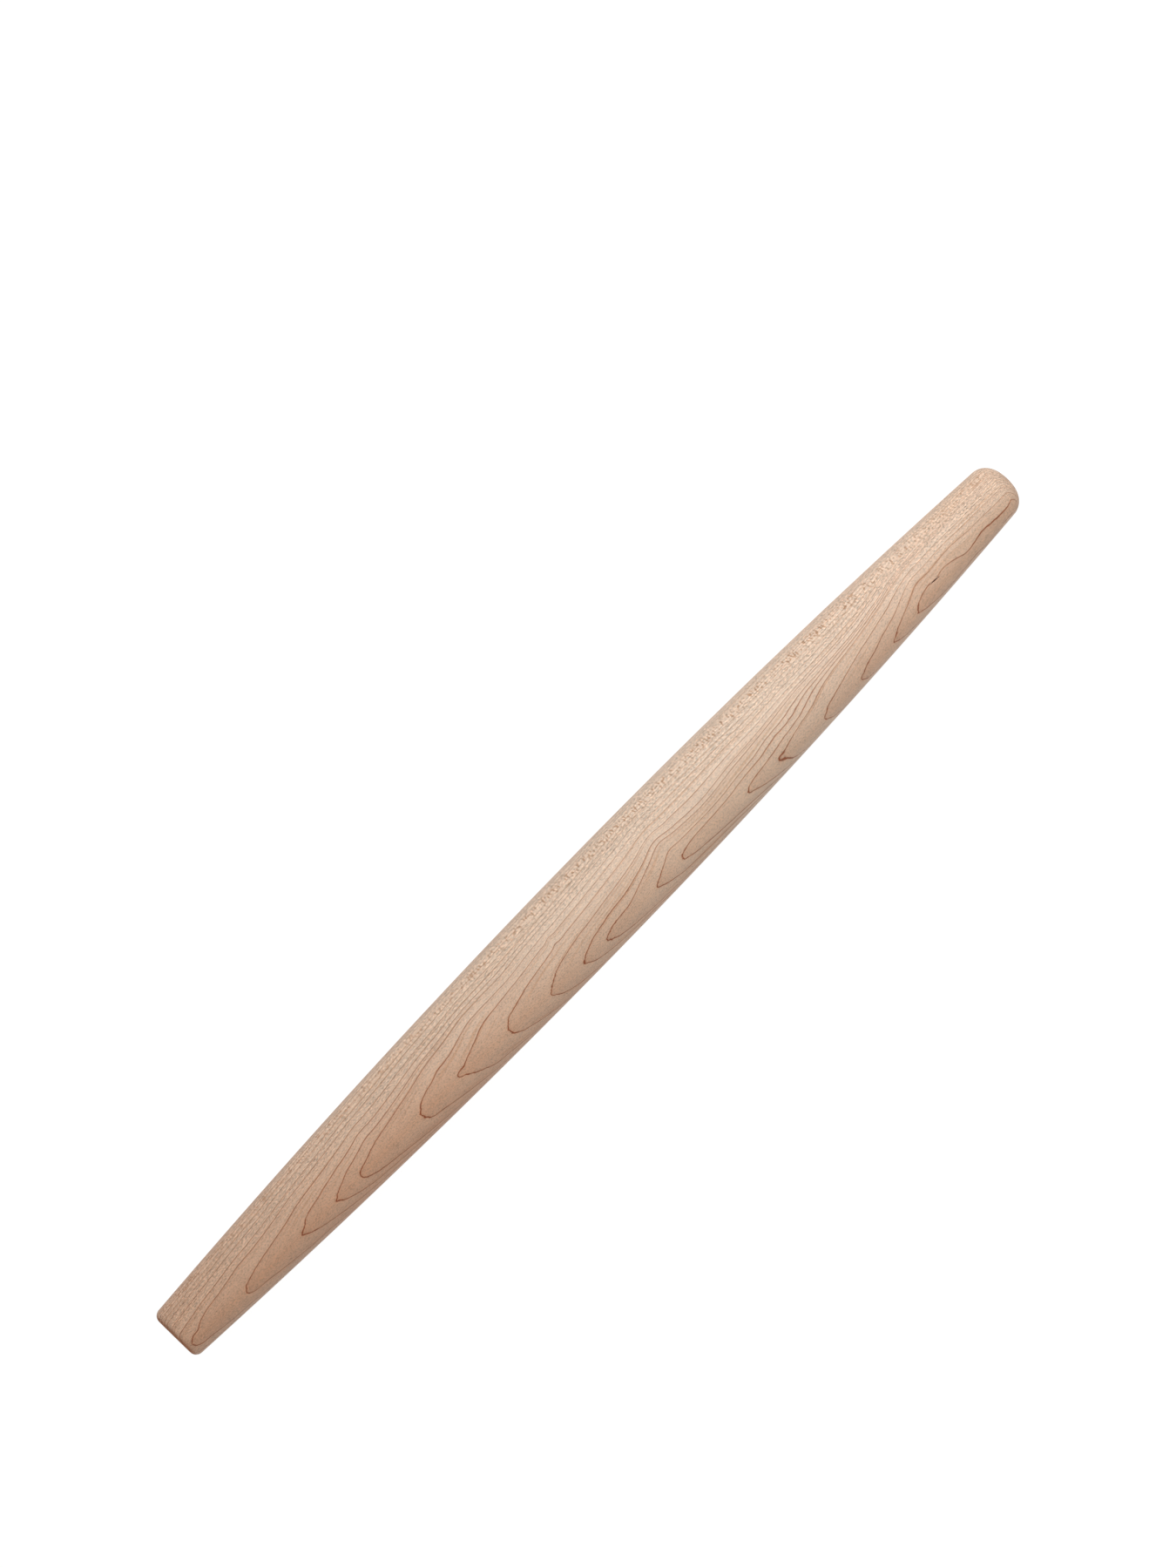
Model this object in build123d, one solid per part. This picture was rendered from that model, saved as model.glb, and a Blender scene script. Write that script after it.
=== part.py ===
from build123d import *
import os

# A tapered rolling pin with no handles, turned from one billet of hard maple. It is a single piece of
# wood: the cook's palms rest on the slim ends, and the thick middle presses the dough.
# Sizes are in millimetres. The pin lies along X on the table, with its well rounded end towards +X.
# The origin is on the table, under the middle of the pin's length, and +Z is up.

# The turned blank
pin_length = 533.4
middle_diameter = 43.5
end_diameter = 25.7  # where the long side would meet the flat end, if its rim were left sharp

# The rims, eased by hand on the lathe: the left one is only broken, the right one is well rounded
left_rim_rounding = 3.7
right_rim_rounding = 8.3

# What follows from them
half_length = pin_length / 2
middle_radius = middle_diameter / 2
end_radius = end_diameter / 2


def side_outline():
    """Half of the pin's lengthwise section, over the axis: one long shallow arc between two flat ends."""
    left_corner = (-half_length, end_radius)
    right_corner = (half_length, end_radius)
    with BuildSketch() as section:
        with BuildLine():
            ThreePointArc(left_corner, (0, middle_radius), right_corner)
            Polyline(right_corner, (half_length, 0), (-half_length, 0), left_corner)
        make_face()
        for corner, rounding in ((left_corner, left_rim_rounding), (right_corner, right_rim_rounding)):
            fillet(section.vertices().sort_by_distance(corner).first, rounding)
    return section.sketch


def turned_pin():
    """The outline spun round the lathe's axis, then set down so that the pin's belly touches the table."""
    return Pos(0, 0, middle_radius) * revolve(side_outline(), Axis.X)


os.makedirs("parts", exist_ok=True)
rolling_pin = turned_pin()
rolling_pin.label = "rolling_pin"
export_step(rolling_pin, "parts/rolling_pin.step")

box = rolling_pin.bounding_box()
print("rolling_pin", len(rolling_pin.solids()), "solid,", round(rolling_pin.volume), "mm3")
print("length", round(box.size.X, 2), "thickness", round(box.size.Z, 2), "lowest point", round(box.min.Z, 3))
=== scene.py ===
# %% [markdown]
# A tapered rolling pin
#
# This pin is one stick of hard maple, turned on a lathe: thick in the middle, slim at the ends, with no
# handles. Nothing on it moves, so the lesson is about two things. The first is a clean turned shape. The
# second is wood that is solid all the way through: the growth layers are set up once, in space, and
# every cut through them, along the side, over the rims and across the ends, then shows its own figure.

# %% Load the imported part
import math

import bmesh
import bpy
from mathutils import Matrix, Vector


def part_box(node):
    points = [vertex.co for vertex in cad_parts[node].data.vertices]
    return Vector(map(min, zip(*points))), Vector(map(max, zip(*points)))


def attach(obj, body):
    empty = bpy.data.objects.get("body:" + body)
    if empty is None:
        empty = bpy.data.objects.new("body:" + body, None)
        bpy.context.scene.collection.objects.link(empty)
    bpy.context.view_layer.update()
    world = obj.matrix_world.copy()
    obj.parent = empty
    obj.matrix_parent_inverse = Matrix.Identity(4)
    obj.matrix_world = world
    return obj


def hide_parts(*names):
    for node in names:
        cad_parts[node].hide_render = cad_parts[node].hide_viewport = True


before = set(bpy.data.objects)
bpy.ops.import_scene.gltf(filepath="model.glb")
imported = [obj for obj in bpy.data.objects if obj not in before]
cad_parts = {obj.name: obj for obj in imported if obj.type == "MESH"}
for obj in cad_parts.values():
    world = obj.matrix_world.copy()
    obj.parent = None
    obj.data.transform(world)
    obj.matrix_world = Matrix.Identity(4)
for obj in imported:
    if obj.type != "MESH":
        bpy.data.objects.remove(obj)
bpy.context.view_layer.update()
low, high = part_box("rolling_pin")
MM = 0.001
HALF_LENGTH = (high.x - low.x) / 2 / MM
MIDDLE_RADIUS = (high.z - low.z) / 2 / MM
AXIS_HEIGHT = MIDDLE_RADIUS * MM
print("packed nodes", len(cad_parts))
print("pin", round(2 * HALF_LENGTH, 1), "mm long,", round(2 * MIDDLE_RADIUS, 1), "mm thick")

# %% [markdown]
# The camera stands where the photographer stood: almost overhead, a little towards the left end and the
# front. A long lens from nearly two metres keeps the two ends almost the same size. It is aimed at a
# point of the table beside the pin's middle, which leaves the pin slightly low in the upright picture.

# %% Camera
SCENE = bpy.context.scene
CAMERA_AZIMUTH, CAMERA_ELEVATION = math.radians(-46.40), math.radians(76.98)
CAMERA_DISTANCE = 1.8205
AIM = Vector((0.0379, 0.0433, 0))
LENS_MM, SENSOR_MM = 92.56, 36
level = math.cos(CAMERA_ELEVATION)
back = Vector((
    level * math.sin(CAMERA_AZIMUTH),
    -level * math.cos(CAMERA_AZIMUTH),
    math.sin(CAMERA_ELEVATION),
))
camera_data = bpy.data.cameras.new("camera")
camera_data.lens, camera_data.sensor_fit = LENS_MM, "AUTO"
camera_data.sensor_width = SENSOR_MM
camera = bpy.data.objects.new("camera", camera_data)
camera.location = AIM + CAMERA_DISTANCE * back
camera.rotation_euler = back.to_track_quat("Z", "Y").to_euler()
SCENE.collection.objects.link(camera)
SCENE.camera = camera
SCENE.view_settings.view_transform = "Standard"
print("camera at", [round(c, 3) for c in camera.location])

# %% [markdown]
# A lathe makes one half of the pin's outline and the spinning wood does the rest, and so does the spin
# operator. A stretched cylinder could be squeezed at its ends instead, but its rims would squeeze too.
# The outline itself is made of arcs, and each arc is also a spin, of one single vertex: the left rim,
# the long shallow side, the right rim. A rim's arc touches the flat end and the side without a kink, so
# its centre follows from its own radius and the side's.

# %% The outline's measures, in millimetres
END_RADIUS = 12.85  # where the side would meet the flat end
LEFT_RIM, RIGHT_RIM = 3.7, 8.3
SIDES = 144
SIDE_STEPS = 180
RIM_STEPS = 12
drop = MIDDLE_RADIUS - END_RADIUS
SIDE_RADIUS = (HALF_LENGTH**2 + drop**2) / (2 * drop)
SIDE_CENTRE = MIDDLE_RADIUS - SIDE_RADIUS


def side_height(x):
    """The pin's radius at x, on the long arc of its side."""
    return SIDE_CENTRE + math.sqrt(SIDE_RADIUS**2 - x**2)


def rim_centre(rounding):
    """How far from the middle, and how far from the axis, the centre of a rim's arc lies."""
    reach = HALF_LENGTH - rounding
    return reach, SIDE_CENTRE + math.sqrt((SIDE_RADIUS - rounding)**2 - reach**2)


left_reach, left_flat = rim_centre(LEFT_RIM)
right_reach, right_flat = rim_centre(RIGHT_RIM)
left_lean = math.asin(left_reach / (SIDE_RADIUS - LEFT_RIM))
right_lean = math.asin(right_reach / (SIDE_RADIUS - RIGHT_RIM))
print("side arc", round(SIDE_RADIUS), "mm, flats", round(left_flat, 2), "and", round(right_flat, 2), "mm")

# %% Spin the outline, then the pin
WELD = 1e-4  # vertices closer than this become one


def swing(mesh, tip, centre, angle, steps):
    """Turns one vertex about a centre in the outline's plane and returns the far end of the arc."""
    middle = Vector((centre[0], 0, centre[1]))
    spun = bmesh.ops.spin(mesh, geom=[tip], cent=middle, axis=(0, 1, 0), angle=angle, steps=steps)
    return next(v for v in spun["geom_last"] if isinstance(v, bmesh.types.BMVert))


def turned_pin():
    """The outline in the plane over the axis, spun right round and closed."""
    mesh = bmesh.new()
    start = mesh.verts.new((-HALF_LENGTH, 0, 0))
    tip = mesh.verts.new((-HALF_LENGTH, 0, left_flat))
    mesh.edges.new((start, tip))
    quarter = math.pi / 2
    tip = swing(mesh, tip, (-left_reach, left_flat), quarter - left_lean, RIM_STEPS)
    tip = swing(mesh, tip, (0, SIDE_CENTRE), left_lean + right_lean, SIDE_STEPS)
    tip = swing(mesh, tip, (right_reach, right_flat), quarter - right_lean, RIM_STEPS)
    mesh.edges.new((tip, mesh.verts.new((HALF_LENGTH, 0, 0))))
    whole = mesh.verts[:] + mesh.edges[:]
    bmesh.ops.spin(mesh, geom=whole, cent=(0, 0, 0), axis=(1, 0, 0), angle=2 * math.pi, steps=SIDES,
                   use_merge=True)
    bmesh.ops.remove_doubles(mesh, verts=mesh.verts, dist=WELD)
    bmesh.ops.recalc_face_normals(mesh, faces=mesh.faces)
    return mesh


pin_mesh = turned_pin()
print("turned", len(pin_mesh.faces), "faces")

# %% [markdown]
# Near the right end the tree had folded a sliver of bark into itself, and the lathe opened it: a dark
# slit about 5 mm long. Paint alone would do from afar, but it is a real hollow, so it is pressed into
# the mesh. The mesh there is too coarse for it, so the faces round it are first cut smaller, and the
# new vertices are set back on the round side.

# %% Press in the bark pocket
POCKET_ALONG, POCKET_TURN = 207.0, math.radians(38.6)  # turns are from the top towards the front
POCKET_HALF_LENGTH, POCKET_HALF_WIDTH, POCKET_DEPTH = 2.7, 0.38, 0.5
POCKET_SLANT = 0.12
CUT_REACH, CUTS = 5.5, 7


def on_pin(vertex):
    """Along the pin, turned from the top towards the front, and out from the axis."""
    x, y, z = vertex.co
    return x, math.atan2(-y, z), math.hypot(y, z)


def by_pocket(vertex):
    """A vertex's place beside the pocket: along it and across it, in millimetres."""
    x, turn, radius = on_pin(vertex)
    along = x - POCKET_ALONG
    return along, (turn - POCKET_TURN) * radius - POCKET_SLANT * along


def near_pocket(vertex):
    """Whether a vertex is in the patch that is cut smaller."""
    return max(abs(c) for c in by_pocket(vertex)) < CUT_REACH


close_edges = [e for e in pin_mesh.edges if all(near_pocket(v) for v in e.verts)]
bmesh.ops.subdivide_edges(pin_mesh, edges=close_edges, cuts=CUTS, use_grid_fill=True)
for vertex in pin_mesh.verts:
    if near_pocket(vertex):
        x, turn, _ = on_pin(vertex)
        along, across = by_pocket(vertex)
        mouth = max(0, 1 - (along / POCKET_HALF_LENGTH)**2)
        radius = side_height(x) - POCKET_DEPTH * mouth * math.exp(-(across / POCKET_HALF_WIDTH)**2)
        vertex.co = (x, -radius * math.sin(turn), radius * math.cos(turn))
print("with the pocket", len(pin_mesh.faces), "faces")

# %% [markdown]
# The picture that will carry the wood's colours outside Blender is square, and the pin is long. So its
# skin is slit along the underside and laid out in two strips, one for each half of the length, with the
# two small end discs in a row of their own. Every millimetre of wood then gets nearly four pixels, where
# an automatic layout would cut the skin into many scraps.

# %% Lay the skin out flat
STRIP_LENGTH = HALF_LENGTH + MIDDLE_RADIUS - END_RADIUS
STRIP_HEIGHT, STRIP_GAP = 0.445, 0.01
DISC_LEFT, DISC_RIGHT, DISC_MARGIN = 0.1, 0.3, 0.045
DISC_ROW = 2 * (STRIP_HEIGHT + STRIP_GAP) + DISC_MARGIN
FLAT_TOLERANCE = 0.001  # a face this close to the end of the pin is part of an end disc
skin = pin_mesh.loops.layers.uv.new("OFBake")


def disc_place(x, y, z):
    """A point of an end disc, at the strips' own scale, in the row over the strips."""
    sideways = DISC_LEFT if x < 0 else DISC_RIGHT
    return sideways + y / STRIP_LENGTH, DISC_ROW + z / STRIP_LENGTH


def strip_place(x, turn, radius, right_half):
    """A point of the side or a rim: along the outline from the middle, and round from the underside."""
    along = abs(x) + side_height(x) - radius
    row = (STRIP_HEIGHT + STRIP_GAP) * right_half
    return along / STRIP_LENGTH, row + STRIP_HEIGHT * (0.5 + turn / (2 * math.pi))


for face in pin_mesh.faces:
    middle = face.calc_center_median()
    middle_turn = math.atan2(-middle.y, middle.z)
    for loop in face.loops:
        x, turn, radius = on_pin(loop.vert)
        if abs(middle.x) > HALF_LENGTH - FLAT_TOLERANCE:
            loop[skin].uv = disc_place(*loop.vert.co)
            continue
        if abs(turn - middle_turn) > math.pi:
            turn += math.copysign(2 * math.pi, middle_turn)
        loop[skin].uv = strip_place(x, turn, radius, middle.x > 0)
print("strips for", round(STRIP_LENGTH, 1), "mm of outline each")

# %% [markdown]
# So far the pin lies round its own axis, in millimetres. Now it becomes metres and is lifted until it
# touches the table. The object could be scaled and lifted instead, but then a pattern on its own
# coordinates would slide, so the move goes into the mesh, and the object stays at the origin.

# %% Set the pin on the table
bmesh.ops.scale(pin_mesh, vec=(MM, MM, MM), verts=pin_mesh.verts)
bmesh.ops.translate(pin_mesh, vec=(0, 0, AXIS_HEIGHT), verts=pin_mesh.verts)
for face in pin_mesh.faces:
    face.smooth = abs(face.calc_center_median().x) < (HALF_LENGTH - FLAT_TOLERANCE) * MM
pin_data = bpy.data.meshes.new("turned_pin")
pin_mesh.to_mesh(pin_data)
pin_mesh.free()
pin = bpy.data.objects.new("turned_pin", pin_data)
SCENE.collection.objects.link(pin)
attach(pin, "root")
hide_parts("rolling_pin")
print("pin mesh", len(pin_data.polygons), "faces")

# %% [markdown]
# The wood's maths is long, so it is written as sums. A Wire is one number or vector on its way through
# the material. Adding, multiplying or comparing Wires adds the Math nodes, and every other node comes
# from one method that is told the node's type, its settings and what goes into it.

# %% Wires


class Wire:
    """A socket whose arithmetic adds nodes to the material being made."""

    tree = None

    def __init__(self, socket):
        self.socket = socket

    @classmethod
    def node(cls, kind, settings=None, values=None, out=0):
        """Adds a node: its settings first, then values or Wires for its sockets, by name or number."""
        made = cls.tree.nodes.new(kind)
        for name, value in (settings or {}).items():
            if name == "curve":
                points = made.mapping.curves[0].points
                points[0].location, points[1].location = value[0], value[-1]
                for point in value[1:-1]:
                    points.new(*point)
                made.mapping.update()
            else:
                setattr(made, name, value)
        for name, value in (values or {}).items():
            if isinstance(value, Wire):
                cls.tree.links.new(value.socket, made.inputs[name])
            else:
                made.inputs[name].default_value = value
        return cls(made.outputs[out]) if made.outputs else None

    def maths(self, operation, *others):
        """Adds a Math node that takes this Wire first."""
        values = dict(enumerate((self, *others)))
        return Wire.node("ShaderNodeMath", {"operation": operation}, values)

    def __add__(self, other):
        return self.maths("ADD", other)

    __radd__ = __add__

    def __mul__(self, other):
        return self.maths("MULTIPLY", other)

    __rmul__ = __mul__

    def __sub__(self, other):
        return self.maths("SUBTRACT", other)

    def __rsub__(self, other):
        return self.maths("MULTIPLY_ADD", -1, other)

    def __truediv__(self, other):
        return self.maths("DIVIDE", other)

    def __neg__(self):
        return self.maths("MULTIPLY", -1)

    def __abs__(self):
        return self.maths("ABSOLUTE")

    def __gt__(self, other):
        return self.maths("GREATER_THAN", other)

    def squared(self):
        return self.maths("MULTIPLY", self)


def count_nodes(step):
    """Prints how many nodes the material being made has after a step."""
    print("after", step, "the material has", len(Wire.tree.nodes), "nodes")


# %% Helpers that shape a number


def bell(*offsets):
    """1 where every offset is zero, falling off like a bell over an offset of 1."""
    total = offsets[0].squared()
    for offset in offsets[1:]:
        total = offset.maths("MULTIPLY_ADD", offset, total)
    return (-total).maths("EXPONENT")


def fade(value, start, end):
    """0 before start, 1 past end, and smooth between."""
    settings = {"interpolation_type": "SMOOTHSTEP", "clamp": True}
    return Wire.node("ShaderNodeMapRange", settings, {"Value": value, "From Min": start, "From Max": end})


def curve(value, low, high, floor, ceiling, knots):
    """A smooth curve through given knots, each a place between low and high and its height."""
    shares = [((at - low) / (high - low), (to - floor) / (ceiling - floor)) for at, to in knots]
    share = (value - low) * (1 / (high - low))
    drawn = Wire.node("ShaderNodeFloatCurve", {"curve": shares}, {"Value": share})
    return drawn * (ceiling - floor) + floor


def weighted(total, *parts):
    """A starting number plus parts, each with its weight in front of it."""
    for weight, part in parts:
        total = total + weight * part
    return total


# %% Helpers for noise and colour


def joined(x, y, z):
    """Three numbers as one vector or colour."""
    return Wire.node("ShaderNodeCombineXYZ", {}, {0: x, 1: y, 2: z})


def grain_noise(axes, sizes, detail=0.0, roughness=0.5):
    """Smooth noise about zero, from about -0.5 to 0.5, with swells of these sizes along these axes."""
    place = joined(*(axis / size for axis, size in zip(axes, sizes)))
    values = {"Vector": place, "Scale": 1.0, "Detail": detail, "Roughness": roughness}
    return Wire.node("ShaderNodeTexNoise", {}, values) - 0.5


def tint(amount, below, above, blend="MIX"):
    """Lays one colour over another by an amount."""
    settings = {"data_type": "RGBA", "blend_type": blend}
    return Wire.node("ShaderNodeMix", settings, {0: amount, 6: below, 7: above}, out=2)


def grey(brightness):
    """A grey of this brightness, with the 1 for solid that every colour ends in."""
    return (brightness,) * 3 + (1,)


# %% [markdown]
# Everything in the wood is measured in millimetres from the pin's own axis: along it, up, and to the
# front. The tree's rings come as one number, the age: how far out from the pith a grain of wood grew.
# The pin was sawn from the outer part of a trunk, so its rings are almost flat sheets. They face a
# direction that turns slowly along the pin, and they lean, so the turned side cuts them into long V
# shapes. Three smooth curves along the pin say how they face, how they lean and how they bend. A wave
# texture would give even rings at once, but no two of this pin's are alike.

# %% Start the wood
wood = bpy.data.materials.new("turned_maple")
wood.use_nodes = True
wood.node_tree.nodes.clear()
Wire.tree = wood.node_tree
object_place = Wire.node("ShaderNodeTexCoord", out="Object")
apart = Wire.node("ShaderNodeSeparateXYZ", {}, {0: object_place}).socket.node
along, sideways, over_table = (Wire(apart.outputs[i]) * (1 / MM) for i in range(3))
front = -sideways
up = over_table - MIDDLE_RADIUS
count_nodes("the axes")

# %% How the growth layers lie
RIGHT, LEFT = HALF_LENGTH, -HALF_LENGTH
FACING = [  # along the pin, and degrees from the top towards the front
    (LEFT, 43), (-200, 39.5), (-130, 38), (-66, 43), (-12, 51), (20, 49), (45, 47.5), (75, 50),
    (105, 58), (134, 62), (155, 63), (178, 59.5), (205, 54), (230, 59.5), (RIGHT, 61)]
LEAN = [  # along the pin, and how far out the layers have leant, in millimetres
    (LEFT, 10.3), (-235, 11.4), (-200, 12.1), (-165, 13.6), (-115, 15.4), (-65, 18.2), (-27, 20.65),
    (-12, 21.25), (20, 22.35), (36, 23.0), (60, 23.6), (78, 24.15), (100, 25.2), (128, 27.6),
    (153, 29.85), (175, 31.65), (192, 33.05), (210, 34.3), (230, 35.14), (241, 35.84), (255, 36.64),
    (RIGHT, 37.45)]
BEND = [  # along the pin, and how much each layer curls
    (LEFT, -0.005), (0, 0.012), (170, 0.0165), (210, 0.022), (250, 0.030), (RIGHT, 0.030)]


def turned_axes(angle):
    """Two axes across the pin: out in the direction of an angle from the top, and square to it."""
    cosine, sine = angle.maths("COSINE"), angle.maths("SINE")
    return up * cosine + front * sine, front * cosine - up * sine


facing = curve(along, LEFT, RIGHT, 30, 70, FACING) * math.radians(1)
lean = curve(along, LEFT, RIGHT, 0, 50, LEAN)
bend = curve(along, LEFT, RIGHT, -0.02, 0.03, BEND)
outward, across = turned_axes(facing)
layers = (along, outward, across)
print("layers set by", len(FACING) + len(LEAN) + len(BEND), "knots")

# %% [markdown]
# Real layers aren't that smooth. They swell round a pin knot, dip at a ridge, and wander a little
# everywhere. Each swelling here is one bell: the broad ones move the sides of the Vs, and the small
# ones that sit on the middle line, where across is near 0, sharpen or blunt their tips.
# Two soft noises do the rest. One wanders slowly. The other shivers, and frays the lines by an amount
# that a curve sets along the pin: most at the left end, hardly at all at the right.

# %% Swellings and wandering
SWELLINGS = [  # along, across, how far it reaches along and across, and its height, in millimetres
    (-260, 3.5, 4, 3, 0.3), (-257.5, -3.3, 2.5, 2, -0.25), (-249, -7, 5, 3, 0.25),
    (-233, 8, 8, 3, -0.5), (-228, 3.5, 5, 3, 0.35), (-227, -10, 6, 3, 0.3),
    (-197.5, 0, 2.5, 1.3, 0.14), (-190, -13, 11, 4.5, 0.5), (-189, -4.5, 5, 3, 0.2),
    (-187, 10, 8, 3.5, -0.45), (-178.5, 0, 2.5, 1.3, 0.14), (-171, -5, 5, 3, -0.15),
    (-160, 1, 5, 4, 0.25), (-155, 7, 9, 4, 0.3), (-150, -13, 6, 5, 0.55), (-121, 5, 6, 3, 0.22),
    (-118, -6, 7, 4, 0.22), (-108, -15.5, 14, 4.5, 0.55), (-107, -9.5, 5, 3.5, 0.3),
    (-101, -1.5, 4, 2.5, 0.35), (-84, 9, 6, 3, 0.35), (-82, -15, 11, 5, 0.85), (-67, -4, 4, 3, 0.15),
    (-56, -18, 9, 4, -0.6), (-47.5, 1, 2, 1.3, 0.06), (-42, -4, 5, 3, -0.1),
    (-31.4, -16.2, 2.2, 2.8, 0.45), (-28, 0, 2, 1.3, 0.07), (-12.5, 0, 2, 1.3, 0.05),
    (3, -4, 8, 4, -0.25), (11, -7.5, 9, 4, -0.25), (20, 0, 2, 1.4, 0.05), (29, -16, 7, 5, 0.6),
    (34, -12, 5, 8, 0.25), (56, -13, 14, 5, -0.35), (62, -13, 16, 8, -0.3),
    (99.5, -2.2, 2.5, 1.6, 0.14), (100, -12.5, 10, 3.5, 0.4), (102, 2, 4, 3, -0.12),
    (120, -18, 32, 4.5, 1.5), (124, -9.5, 14, 3.5, -0.3), (127.6, 0.5, 2, 1.3, 0.05),
    (148, -8, 12, 4, -0.2), (152.7, 0, 2, 1.3, 0.05), (166, -5, 10, 4, -0.12),
    (175, 0, 2, 1.3, 0.05), (180, -9, 8, 3.5, -0.15), (198, -11, 7, 4, 0.4),
    (208, -5.5, 3.5, 2.2, -0.08), (218, -5.5, 11, 3, -0.09), (224, -11, 10, 4, 0.4),
    (227.5, -4.5, 3.5, 2.5, -0.06), (267, 0, 5, 6, 1.2)]
WANDER_SIZES, WANDER_HEIGHT = (16, 9, 7), 0.12
SHIVER_SIZES = (3.4, 2.0, 1.6)
FRAYING = [  # along the pin, and how far the layers shiver, in millimetres
    (LEFT, 0.2), (-100, 0.17), (10, 0.11), (36, 0.05), (85, 0.09), (130, 0.16), (190, 0.13),
    (225, 0.05), (RIGHT, 0.05)]


def with_bells(total, rows):
    """Adds one bell for each row of along, across, reach along, reach across and height."""
    for x, v, reach_x, reach_v, top in rows:
        total = total + top * bell((along - x) / reach_x, (across - v) / reach_v)
    return total


age = with_bells(outward + lean + bend * across.squared(), SWELLINGS)
wander = grain_noise(layers, WANDER_SIZES, detail=1.0)
shiver = grain_noise(layers, SHIVER_SIZES, detail=2.0, roughness=0.6)
fraying = curve(along, LEFT, RIGHT, 0, 0.25, FRAYING)
age = age + WANDER_HEIGHT * wander + fraying * shiver
print("swellings", len(SWELLINGS))

# %% [markdown]
# The summers end in thin dark lines, and their spacing is the tree's diary of good and bad years. The
# places are listed. A loop compares the age with each, and keeps the last line passed and the next
# one to come: the nearer of the two draws the line, and the way between them shades the year's wood. A
# colour ramp holds 32 stops at most, and would need three for each line.

# %% The years
SUMMER_ENDS = [
    -9.6, -8.1, -6.9, -5.1, -3.6, -1.9, -0.4, 1.5, 3.1, 4.4, 6.2, 7.7, 9.4, 11.1, 13.2,
    15.4, 18.0, 21.2, 23.5, 26.6, 29.2, 31.0, 32.4, 34.8, 36.8, 38.9, 40.9, 42.35, 43.0, 44.09,
    44.60, 45.15, 45.7, 47.3, 48.65, 49.6, 50.2, 52.0]
FIRST_YEAR, FAR = 1.5, 100  # the width of the year before the first line, and an age past every line
oldest = SUMMER_ENDS[0] - FIRST_YEAR
age = age - oldest
last, coming = 0 * age, 0 * age + FAR
for place in SUMMER_ENDS:
    passed = age > place - oldest
    last = last.maths("MAXIMUM", passed * (place - oldest))
    coming = coming.maths("MINIMUM", passed.maths("MULTIPLY_ADD", FAR, place - oldest))
since, until = age - last, coming - age
season = since / (since + until)
from_line = since.maths("MINIMUM", until)
print("summer ends", len(SUMMER_ENDS))

# %% [markdown]
# A line looks wider where the side cuts its layer at a slant, and that is at the sides of the Vs, where
# the layers stand steep. So its width in growth is small at the tips and larger on the flanks. Lines
# are boldest at the left end and finest at the right, and a second list of bells makes single ones
# thicker or thinner. A wide faint halo round each line stands for the late summer's darker wood.

# %% The lines' width and strength
LINE_AT_TIP, LINE_ON_FLANK = 0.013, 0.080  # half widths, in millimetres of growth
LINE_STRENGTH, HALO_SPREAD = 1.25, 4.0
PATCH_SIZES = (24, 5, 5)  # the patches in which a line is a little stronger or weaker
THICKNESS_AT_LEFT, THINNER_PAST_MIDDLE, THINNER_AT_RIGHT = 1.6, -0.55, -0.35
THICKENINGS = [  # along, across, reach along and across, and how much thicker or thinner a line gets
    (-262, 0, 14, 7, 0.7), (-198, 0, 5, 4, 0.9), (-177, 0, 4, 4, 0.5), (-162, 0, 4, 6, 0.4),
    (-125, 0, 4, 5, 0.3), (-101, -1, 5, 5, 0.7), (-71, 0, 5, 6, 0.5), (-27, 0, 4, 4, 0.4),
    (38, 0, 12, 6, -0.55), (65, -8, 55, 5, -0.3), (78, 0, 7, 6, -0.45), (101, -1, 4, 4, 2.4),
    (120, -8, 16, 5, 0.15), (134, -3, 8, 5, 0.5), (157, -2, 7, 5, 0.5), (178, -2, 7, 5, 0.4),
    (248, -3.5, 18, 3, 0.6), (252, 7, 16, 5, -0.6)]
steepness = abs(across) * (1 / MIDDLE_RADIUS)
slope = steepness * (1 - 2 * bend * outward)
past_middle, at_right = fade(along, -150, 50), fade(along, 165, 215)
thickness = weighted(THICKNESS_AT_LEFT, (THINNER_PAST_MIDDLE, past_middle), (THINNER_AT_RIGHT, at_right))
thickness = with_bells(thickness, THICKENINGS)
line_width = (LINE_AT_TIP + LINE_ON_FLANK * slope) * thickness
patchy = grain_noise(layers, PATCH_SIZES, detail=1.0)
line = bell(from_line / line_width) * weighted(LINE_STRENGTH, (-0.5, steepness), (0.35, patchy))
halo = bell(from_line / (HALO_SPREAD * line_width)) * (1 - 0.9 * steepness)
print("lines thickened or thinned at", len(THICKENINGS), "places")

# %% [markdown]
# Maple's rays are thin ribbons that run outwards from the pith. Where the side cuts along them, on the
# back of the pin, they show as rows of small marks across the grain, and where it cuts across them they
# shrink to specks. So they are noise that is stretched outwards and squeezed the other two ways, and the
# marks come by themselves where they should. They are weaker towards the two ends. A second, finer noise
# of short dashes fills a wider band round them. Marks placed one by one would take hundreds of rows.

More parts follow.
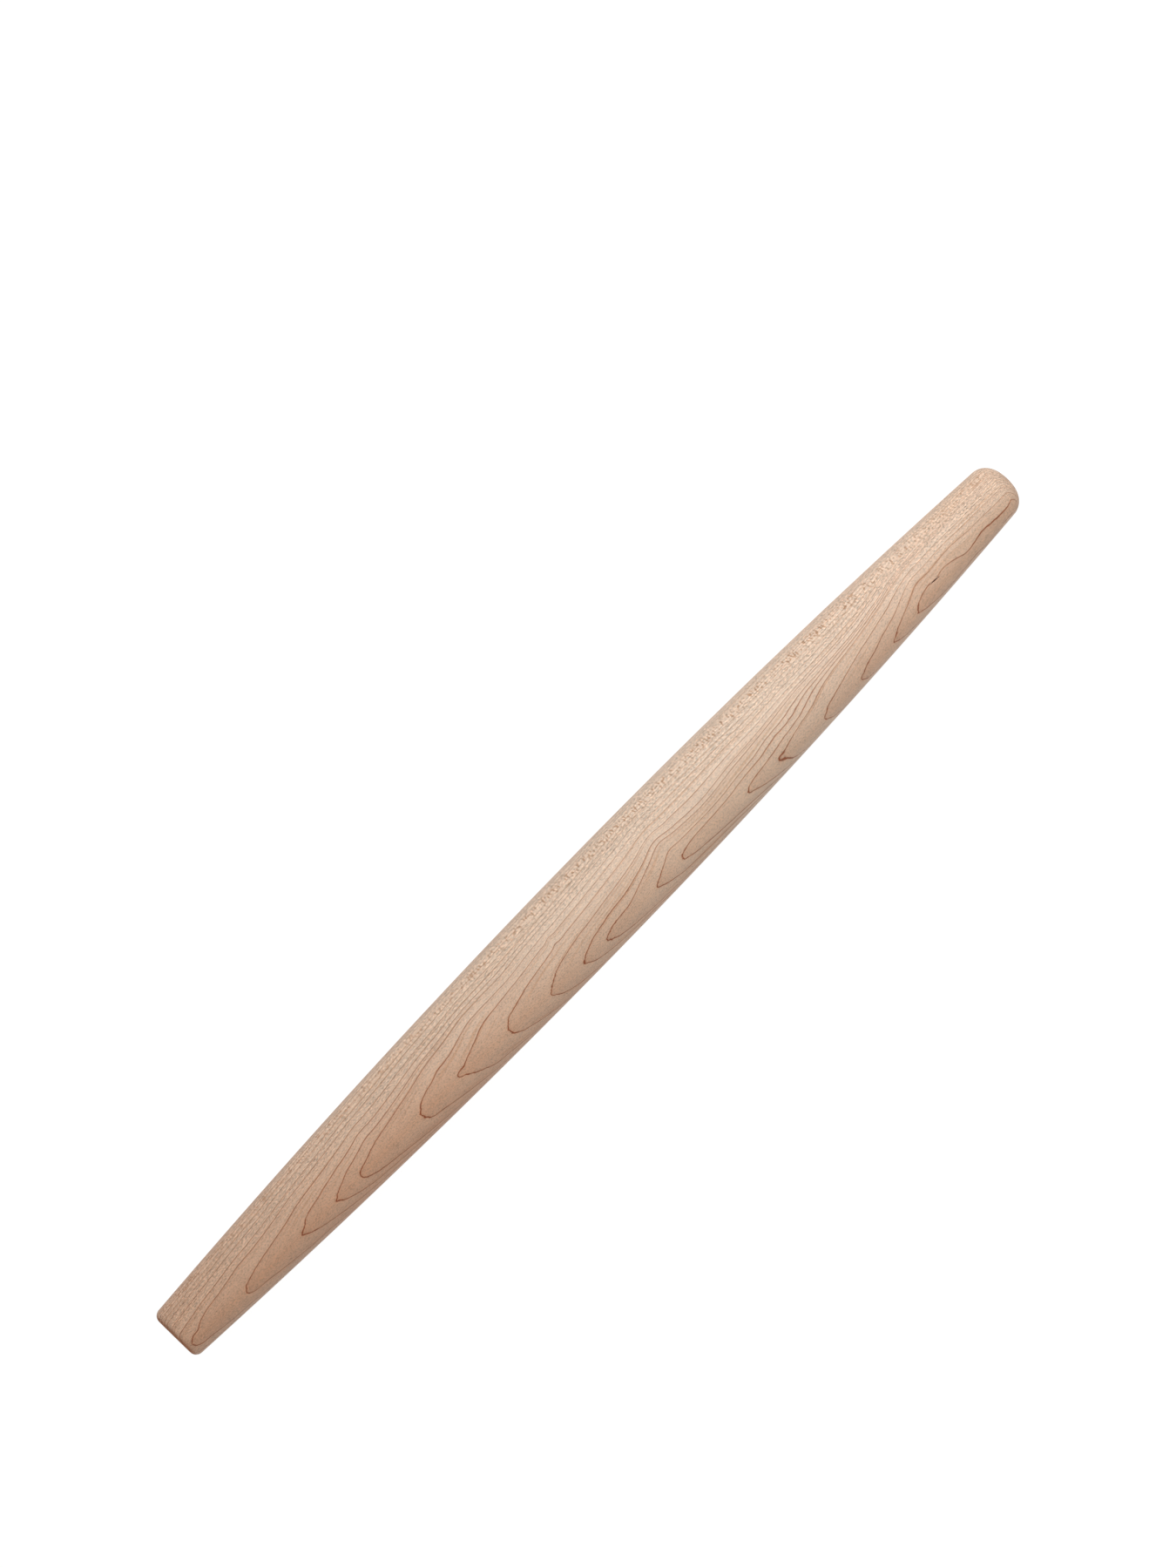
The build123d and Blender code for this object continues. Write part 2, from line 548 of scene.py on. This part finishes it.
# %% Rays
RAY_FACING_MIDDLE, RAY_FACING_TWIST = 46.5, 0.033  # degrees, and degrees for each millimetre along
RAY_SIZES, DASH_SIZES = (0.8, 2.6, 0.5), (1.1, 0.34, 0.4)
RAY_BAND, RAY_BAND_WIDE = 3.2, 8  # how far from the plane of the rays the marks show, in millimetres
DASH_BAND = (6, 18)  # how far from it the dashes begin to fade, and where they end
ray_outward, ray_across = turned_axes(
    (along * RAY_FACING_TWIST + RAY_FACING_MIDDLE) * math.radians(1))
ray_axes = (along, ray_outward, ray_across)
rays = fade(grain_noise(ray_axes, RAY_SIZES), 0.05, 0.15)
rays = rays * (0.95 * bell(ray_outward / RAY_BAND) + 0.15 * bell(ray_outward / RAY_BAND_WIDE))
rays = rays * weighted(0.6, (0.4, fade(along, -150, 40)), (-0.4, fade(along, 170, 240)))
dashes = grain_noise(ray_axes, DASH_SIZES, detail=1.0)
dashes = dashes * (1 - fade(abs(ray_outward), *DASH_BAND))
count_nodes("the rays")

# %% [markdown]
# The rest of the figure is noise of several shapes. Fibres are long and thin, and specks are the cut
# pores. Sheets are thin darker layers within a year, so they follow the age and not the axes. Clouds
# are broad and faint, and the curl is the slight ripple that crosses the grain of some maple.

# %% Fibres, pores, sheets, clouds and curl
FIBRE_SIZES, SPECK_SIZES = (14, 0.55, 0.55), (0.75, 0.45, 0.45)
CLOUD_SIZES, CURL_SIZES = (60, 22, 22), (4.5, 25, 25)
SHEET_SIZES = (70, 0.24, 14)
fibres = grain_noise(layers, FIBRE_SIZES, detail=2.0, roughness=0.7)
specks = grain_noise(layers, SPECK_SIZES, detail=1.0, roughness=0.6)
clouds = grain_noise(layers, CLOUD_SIZES, detail=1.0)
curl = grain_noise(layers, CURL_SIZES)
sheets = fade(grain_noise((along, age, across), SHEET_SIZES), 0.03, 0.20)
sheets = sheets * fade(steepness, 0.1, 0.5)  # none at the tips of the Vs
count_nodes("the fine figure")

# %% [markdown]
# Now the colours. The wood is creamy where the side cuts across the layers, and pinker inside the Vs,
# most of all towards the left end. The front of the belly stays pink all over. Left of the middle, its
# back gets a painted rim light, a paler band that stands in for light catching it from behind. An image
# would hold all this as well, but it would stop at the first cut, and a colour that is worked out from
# the layers goes on through the wood.

# %% Cream and pink
PINK_LEFT, PINK_RIGHT = (0.71, 0.42, 0.27, 1), (0.735, 0.525, 0.38, 1)
CREAM_LEFT, CREAM_RIGHT = (0.74, 0.575, 0.445, 1), (0.735, 0.619, 0.511, 1)
PALING = [  # along the pin, and how far the pink has gone from the left end's to the right end's
    (LEFT, 0.02), (-155, 0.06), (-72, 0.4), (12, 0.75), (97, 1.0), (183, 0.5), (225, 0.75),
    (RIGHT, 0.8)]
BELLY_ACROSS = (3, 10)  # across the layers, where the pink front of the belly begins
BELLY_FROM, BELLY_TO = (-220, -160), (40, 100)  # along the pin, where it begins and where it ends
CREAM_LOST = 0.8  # the share of cream that is missing there
pink = tint(curve(along, LEFT, RIGHT, 0, 1, PALING), PINK_LEFT, PINK_RIGHT)
cream = tint(fade(along, LEFT, RIGHT), CREAM_LEFT, CREAM_RIGHT)
pink_belly = fade(across, *BELLY_ACROSS) * fade(along, *BELLY_FROM) * (1 - fade(along, *BELLY_TO))
colour = tint(steepness * (1 - CREAM_LOST * pink_belly), pink, cream)
count_nodes("cream and pink")

# %% Light and shade in the wood
# Where the painted rim light lies: its middle along the pin, how far it reaches along, and how far out
RIM_LIGHT_MIDDLE, RIM_LIGHT_LENGTH, RIM_LIGHT_WIDTH = -110, 90, 6
RAY_GLOW_WIDTH = 3.6
BRIGHTNESS = 1.032
# Painted rim light: the back of the left half is made paler, as if light caught it from behind
painted_rim_light = bell((along - RIM_LIGHT_MIDDLE) / RIM_LIGHT_LENGTH, outward / RIM_LIGHT_WIDTH)
ray_glow = bell(ray_outward / RAY_GLOW_WIDTH)
shade = weighted(
    BRIGHTNESS, (0.09, painted_rim_light), (0.13, ray_glow), (0.3, fibres), (1.2, specks), (1.7, dashes),
    (0.08, clouds), (0.07, curl))
colour = tint(1.0, colour, joined(shade, shade, shade), "MULTIPLY")
count_nodes("light and shade")

# %% [markdown]
# Everything else is laid over that in turn, each as a tone that multiplies what is under it. Each year
# begins a touch darker and pales towards the next line, and the lines themselves are a red brown. Where
# the wood is cut across, on the ends and the rims, it drinks more light and more oil, so it is darker.
# The right rim is rounder than the left, so there the cut tone sets in later and stays weaker.

# %% Tones laid over the wood
YEAR_START, SPECK_TONE = (0.93, 0.88, 0.85, 1), (0.90, 0.84, 0.78, 1)
SHEET_TONE, RAY_TONE = (0.90, 0.81, 0.74, 1), (0.67, 0.53, 0.43, 1)
HALO_TONE, LINE_TONE = (0.98, 0.93, 0.89, 1), (0.43, 0.19, 0.11, 1)
CUT_TONE = (0.68, 0.48, 0.38, 1)
CUT_STARTS, CUT_FULL = (0.50, 0.80), (0.90, 1.00)  # how far a face looks to the end: middle, right end
CUT_STRENGTH = (1.0, 0.8)


def to_right(at_middle, at_end):
    """A number that slides from its value at the pin's middle to another at the right end."""
    return fade(along, 0, RIGHT) * (at_end - at_middle) + at_middle


normal = Wire.node("ShaderNodeTexCoord", out="Normal")
facing_end = abs(Wire.node("ShaderNodeSeparateXYZ", {}, {0: normal}))
end_cut = fade(facing_end, to_right(*CUT_STARTS), to_right(*CUT_FULL)) * to_right(*CUT_STRENGTH)
tones = [
    (YEAR_START, 1 - season), (SPECK_TONE, fade(specks, 0.02, 0.22)), (SHEET_TONE, sheets),
    (RAY_TONE, rays), (HALO_TONE, halo), (LINE_TONE, line), (CUT_TONE, end_cut)]
for tone, amount in tones:
    colour = tint(amount, colour, tone, "MULTIPLY")
count_nodes("the tones")

# %% [markdown]
# The bark in the pocket is nearly black in the middle of the slit and runs out brown to both ends, so
# its colour fades along the slit by a sharper curve than the hollow's own.

# %% Bark in the pocket
BARK, BARK_TAPER = (0.070, 0.018, 0.005, 1), 2.1
BARK_HALF_WIDTH = 0.85 * POCKET_HALF_WIDTH
turned = front.maths("ARCTAN2", up)
pocket_along = along - POCKET_ALONG
pocket_across = (turned - POCKET_TURN) * side_height(POCKET_ALONG) - POCKET_SLANT * pocket_along
bark_ends = (abs(pocket_along) * (-1 / BARK_TAPER)).maths("EXPONENT")
bark = bark_ends * bell(pocket_across / BARK_HALF_WIDTH)
colour = tint(fade(bark, 0.06, 0.55), colour, BARK)
count_nodes("the bark")

# %% [markdown]
# A sanded, bare pin is nearly matt, with a faint satin from hands and flour. The lines are harder and a
# little smoother, the end cuts and the bark rougher. The height map only holds what a fingertip would
# feel: the lines' fine ridges, the fibres, and on the end discs the lathe's last rings. Such fine relief
# is better bumped than modelled, because it never shows on the outline.

# %% Gloss and feel
LATHE_RING = 0.9  # from one of the lathe's rings to the next, in millimetres
roughness = weighted(0.55, (0.10, fibres), (-0.05, line), (0.18, end_cut), (0.2, bark))
from_axis = (up.squared() + front.squared()).maths("SQRT")
rings_felt = (from_axis * (2 * math.pi / LATHE_RING)).maths("SINE") * end_cut
felt = weighted(0.012 * fibres, (0.006, specks), (0.006, line), (0.004, rings_felt))
bump = Wire.node("ShaderNodeBump", {}, {"Strength": 1.0, "Distance": MM, "Height": felt})
surface = Wire.node("ShaderNodeBsdfPrincipled", {}, {
    "Base Color": colour, "Roughness": roughness, "Normal": bump, "IOR": 1.5,
    "Specular IOR Level": 0.25})
Wire.node("ShaderNodeOutputMaterial", {}, {"Surface": surface})
pin_data.materials.append(wood)
count_nodes("gloss and feel")

# %% [markdown]
# The table is plain white, and so is all that the camera sees round the pin. It still takes a faint
# shadow: what the camera sees of it is a white glow with a thin matt coat on top, which the pin shades.
# A white matt table alone would need much more light, and the wood would wash out in it.

# %% The table


def seen_by_camera():
    """1 for what the camera sees, straight or in a reflection, and 0 for the light on things."""
    path = Wire.node("ShaderNodeLightPath").socket.node
    seen = [Wire(path.outputs[n]) for n in ("Is Camera Ray", "Is Glossy Ray", "Is Transmission Ray")]
    return seen[0].maths("MAXIMUM", seen[1]).maths("MAXIMUM", seen[2])


TABLE_SIZE = 8.0
table_mesh = bmesh.new()
bmesh.ops.create_grid(table_mesh, x_segments=1, y_segments=1, size=TABLE_SIZE / 2)
table_data = bpy.data.meshes.new("table")
table_mesh.to_mesh(table_data)
table_mesh.free()
table = bpy.data.objects.new("table", table_data)
SCENE.collection.objects.link(table)

TABLE_WHITE, GLOW, COAT = 0.82, 0.965, 0.12
paint = bpy.data.materials.new("white_table")
paint.use_nodes = True
paint.node_tree.nodes.clear()
Wire.tree = paint.node_tree
matt = Wire.node("ShaderNodeBsdfDiffuse", {}, {"Color": grey(TABLE_WHITE)})
coat = Wire.node("ShaderNodeBsdfDiffuse", {}, {"Color": grey(COAT)})
glow = Wire.node("ShaderNodeEmission", {}, {"Strength": GLOW})
shown = Wire.node("ShaderNodeAddShader", {}, {0: coat, 1: glow})
painted = Wire.node("ShaderNodeMixShader", {}, {0: seen_by_camera(), 1: matt, 2: shown})
Wire.node("ShaderNodeOutputMaterial", {}, {"Surface": painted})
table_data.materials.append(paint)
print("table", TABLE_SIZE, "m wide")

# %% [markdown]
# The light comes softly from everywhere, and a bit more from one broad lamp over the right end and
# behind the pin, so the left end and the front are the darker ones, as in the photograph. A single
# strong lamp would be simpler, but it would draw a hard shadow on the white.

# %% World and lamp
WORLD_LEVEL, BACKDROP_LEVEL = 0.38, 1.0
world = bpy.data.worlds.new("soft_white")
world.use_nodes = True
world.node_tree.nodes.clear()
Wire.tree = world.node_tree
sky = Wire.node("ShaderNodeBackground", {}, {"Color": grey(1), "Strength": WORLD_LEVEL})
backdrop = Wire.node("ShaderNodeBackground", {}, {"Color": grey(1), "Strength": BACKDROP_LEVEL})
mixed = Wire.node("ShaderNodeMixShader", {}, {0: seen_by_camera(), 1: sky, 2: backdrop})
Wire.node("ShaderNodeOutputWorld", {}, {"Surface": mixed})
SCENE.world = world


def soft_lamp(name, place, target, width, power):
    """A square lamp of a given width, turned towards a target."""
    lamp_data = bpy.data.lights.new(name, "AREA")
    lamp_data.size, lamp_data.energy = width, power
    lamp = bpy.data.objects.new(name, lamp_data)
    lamp.location = place
    lamp.rotation_euler = (Vector(place) - Vector(target)).to_track_quat("Z", "Y").to_euler()
    SCENE.collection.objects.link(lamp)


soft_lamp("main_lamp", place=(0.23, 0.13, 0.57), target=(0.15, 0, 0), width=0.45, power=2.5)
print("lamps", len(bpy.data.lights))
